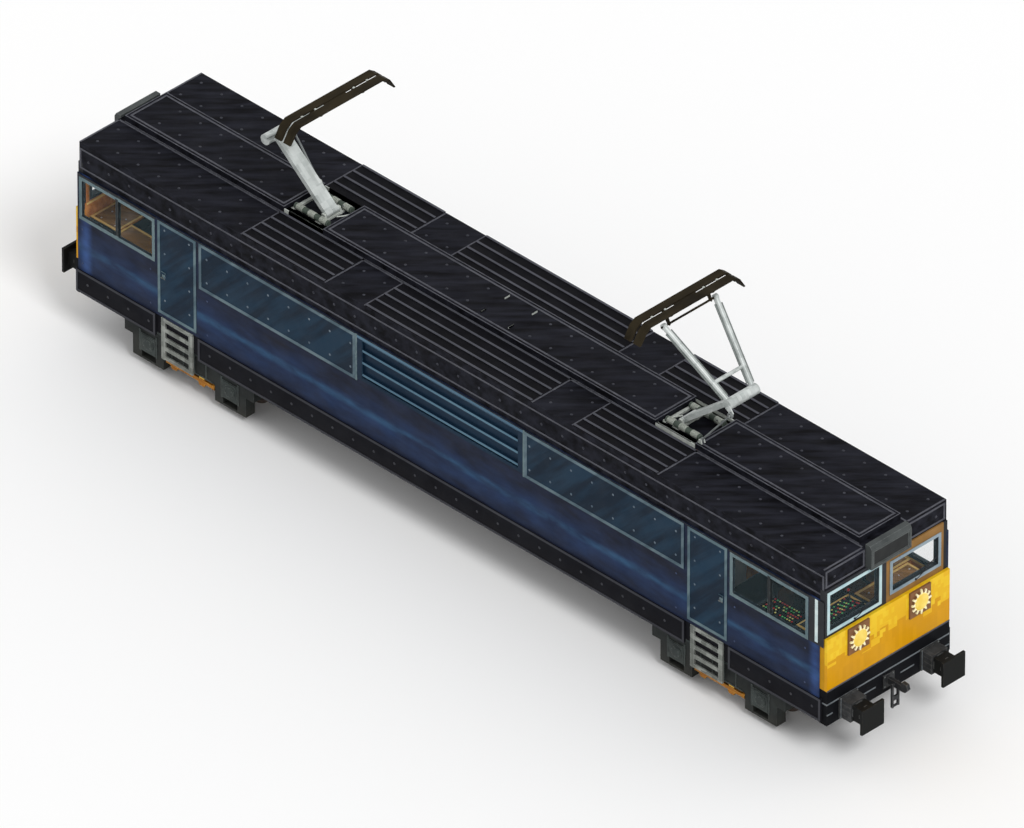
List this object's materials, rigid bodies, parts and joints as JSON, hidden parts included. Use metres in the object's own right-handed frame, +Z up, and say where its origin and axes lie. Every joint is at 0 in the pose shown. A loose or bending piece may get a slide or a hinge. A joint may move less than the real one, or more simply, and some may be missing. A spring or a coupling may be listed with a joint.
{
  "type": "electric locomotive",
  "caption": "Dark blue and yellow electric locomotive with a cab at each end, side doors, two swivelling bogies and two folding single-arm pantographs.",
  "frame": {"origin": "middle of the locomotive's box at the bottom of the wheel flanges, 30 mm below the rail head", "axes": "+X towards the front end, +Y to the left of the direction of travel, +Z up"},
  "size_m": [19.34, 3.06, 6.5476],
  "materials": {
    "frame_paint": "satin black paint, dusty",
    "blue_paint": "satin dark blue paint",
    "dark_surround": "matt dark grey paint",
    "yellow_paint": "satin warning yellow paint",
    "teal_paint": "satin deep teal paint",
    "pale_trim": "pale blue-grey painted trim",
    "roof_paint": "matt black roof paint",
    "roof_trim": "dark grey painted steel",
    "step_steel": "worn galvanised steel",
    "cab_lining": "grey cab lining",
    "cab_floor": "dark rubber floor",
    "desk_plastic": "black desk",
    "seat_leather": "dark brown seat cover",
    "window_glass": "clear glass with a slight tint",
    "lamp_brown": "brown painted lamp plate",
    "buffer_steel": "dark greased steel",
    "grey_paint": "grey paint",
    "running_gear": "dark grey-green paint, dusty",
    "brass": "dull brass",
    "wheel_steel": "rusty brown wheel with a bright tread",
    "pantograph_paint": "light grey paint",
    "pantograph_springs": "wound spring drums",
    "contact_strip": "dark carbon strips"
  },
  "bodies": {
    "carbody": {"underframe": "frame_paint", "buffer_beams": "frame_paint", "side_walls": "blue_paint", "cab_ends": "dark_surround", "nose_panels": "yellow_paint", "side_panels": "teal_paint", "side_louvres": "pale_trim", "cab_roofs": "roof_paint", "machine_room_roof": "roof_paint", "roof_grilles": "roof_trim", "roof_centre_plates": "roof_paint", "side_skirts": "frame_paint", "cab_steps": "step_steel", "cab_bulkheads": "cab_lining", "cab_floors": "cab_floor", "driver_desks": "desk_plastic", "driver_seats": "seat_leather", "windscreens": "window_glass", "windscreen_frames": "pale_trim", "side_windows": "window_glass", "side_window_frames": "pale_trim", "headcode_boxes": "roof_trim", "headlights": "lamp_brown", "buffer_stocks": "frame_paint", "buffer_heads": "buffer_steel", "couplings": "buffer_steel", "transformer": "grey_paint", "bogie_pivots": "running_gear", "pantograph_bases": "pantograph_paint", "pantograph_springs": "pantograph_springs"},
    "front_right_door": {"front_right_door": "teal_paint"},
    "front_left_door": {"front_left_door": "teal_paint"},
    "rear_right_door": {"rear_right_door": "teal_paint"},
    "rear_left_door": {"rear_left_door": "teal_paint"},
    "front_bogie": {"front_bogie_frame": "running_gear", "front_axleboxes": "running_gear", "front_spring_beams": "brass", "front_traction_motors": "running_gear"},
    "rear_bogie": {"rear_bogie_frame": "running_gear", "rear_axleboxes": "running_gear", "rear_spring_beams": "brass", "rear_traction_motors": "running_gear"},
    "wheelset_1": {"wheelset_1": "wheel_steel"},
    "wheelset_2": {"wheelset_2": "wheel_steel"},
    "wheelset_3": {"wheelset_3": "wheel_steel"},
    "wheelset_4": {"wheelset_4": "wheel_steel"},
    "front_lower_arm": {"front_lower_arm": "pantograph_paint"},
    "front_upper_arm": {"front_upper_arm": "pantograph_paint"},
    "front_pantograph_head": {"front_pantograph_head": "contact_strip"},
    "front_guide_rod": {"front_guide_rod": "pantograph_paint"},
    "rear_lower_arm": {"rear_lower_arm": "pantograph_paint"},
    "rear_upper_arm": {"rear_upper_arm": "pantograph_paint"},
    "rear_pantograph_head": {"rear_pantograph_head": "contact_strip"},
    "rear_guide_rod": {"rear_guide_rod": "pantograph_paint"}
  },
  "joints": [
    {"name": "front_right_door_hinge", "type": "hinge", "parent": "carbody", "child": "front_right_door", "pos_m": [5.766, -1.425, 1.43], "axis": [0, 0, 1], "range_deg": [0, 85]},
    {"name": "rear_right_door_hinge", "type": "hinge", "parent": "carbody", "child": "rear_right_door", "pos_m": [-6.086, -1.425, 1.43], "axis": [0, 0, -1], "range_deg": [0, 85]},
    {"name": "rear_left_door_hinge", "type": "hinge", "parent": "carbody", "child": "rear_left_door", "pos_m": [-5.766, 1.425, 1.43], "axis": [0, 0, 1], "range_deg": [0, 85]},
    {"name": "front_left_door_hinge", "type": "hinge", "parent": "carbody", "child": "front_left_door", "pos_m": [6.086, 1.425, 1.43], "axis": [0, 0, -1], "range_deg": [0, 85]},
    {"name": "front_bogie_swivel", "type": "hinge", "parent": "carbody", "child": "front_bogie", "pos_m": [6.4, 0, 0.89], "axis": [0, 0, 1], "range_deg": [-4, 4]},
    {"name": "rear_bogie_swivel", "type": "hinge", "parent": "carbody", "child": "rear_bogie", "pos_m": [-6.4, 0, 0.89], "axis": [0, 0, 1], "range_deg": [-4, 4]},
    {"name": "wheelset_1_axle", "type": "hinge", "parent": "front_bogie", "child": "wheelset_1", "pos_m": [7.4, 0, 0.505], "axis": [0, 1, 0], "continuous": true},
    {"name": "wheelset_2_axle", "type": "hinge", "parent": "front_bogie", "child": "wheelset_2", "pos_m": [5.4, 0, 0.505], "axis": [0, 1, 0], "continuous": true},
    {"name": "wheelset_3_axle", "type": "hinge", "parent": "rear_bogie", "child": "wheelset_3", "pos_m": [-5.4, 0, 0.505], "axis": [0, 1, 0], "continuous": true},
    {"name": "wheelset_4_axle", "type": "hinge", "parent": "rear_bogie", "child": "wheelset_4", "pos_m": [-7.4, 0, 0.505], "axis": [0, 1, 0], "continuous": true},
    {"name": "front_pantograph_fold", "type": "hinge", "parent": "carbody", "child": "front_lower_arm", "pos_m": [4.3, 0, 4.13], "axis": [0, 1, 0], "range_deg": [0, 31]},
    {"name": "front_pantograph_knee", "type": "hinge", "parent": "front_lower_arm", "child": "front_upper_arm", "pos_m": [5.55999, 0, 5.17978], "axis": [0, 1, 0], "range_deg": [-67.1, 0]},
    {"name": "front_head_pivot", "type": "hinge", "parent": "front_upper_arm", "child": "front_pantograph_head", "pos_m": [4.3204, 0, 6.31964], "axis": [0, 1, 0], "range_deg": [0, 36.1]},
    {"name": "front_guide_rod_pivot", "type": "hinge", "parent": "carbody", "child": "front_guide_rod", "pos_m": [5.012, -0.405, 4.21], "axis": [0, 1, 0], "range_deg": [0, 44.4]},
    {"name": "rear_pantograph_fold", "type": "hinge", "parent": "carbody", "child": "rear_lower_arm", "pos_m": [-4.3, 0, 4.13], "axis": [0, -1, 0], "range_deg": [0, 31]},
    {"name": "rear_pantograph_knee", "type": "hinge", "parent": "rear_lower_arm", "child": "rear_upper_arm", "pos_m": [-5.55999, 0, 5.17978], "axis": [0, -1, 0], "range_deg": [-67.1, 0]},
    {"name": "rear_head_pivot", "type": "hinge", "parent": "rear_upper_arm", "child": "rear_pantograph_head", "pos_m": [-4.3204, 0, 6.31964], "axis": [0, -1, 0], "range_deg": [0, 36.1]},
    {"name": "rear_guide_rod_pivot", "type": "hinge", "parent": "carbody", "child": "rear_guide_rod", "pos_m": [-5.012, 0.405, 4.21], "axis": [0, -1, 0], "range_deg": [0, 44.4]}
  ],
  "couplings": [
    {"joint": "front_pantograph_knee", "follows": "front_pantograph_fold", "ratio": -2.15},
    {"joint": "front_head_pivot", "follows": "front_pantograph_fold", "ratio": 1.15},
    {"joint": "front_guide_rod_pivot", "follows": "front_pantograph_fold", "ratio": 1.417},
    {"joint": "rear_pantograph_knee", "follows": "rear_pantograph_fold", "ratio": -2.15},
    {"joint": "rear_head_pivot", "follows": "rear_pantograph_fold", "ratio": 1.15},
    {"joint": "rear_guide_rod_pivot", "follows": "rear_pantograph_fold", "ratio": 1.417}
  ]
}
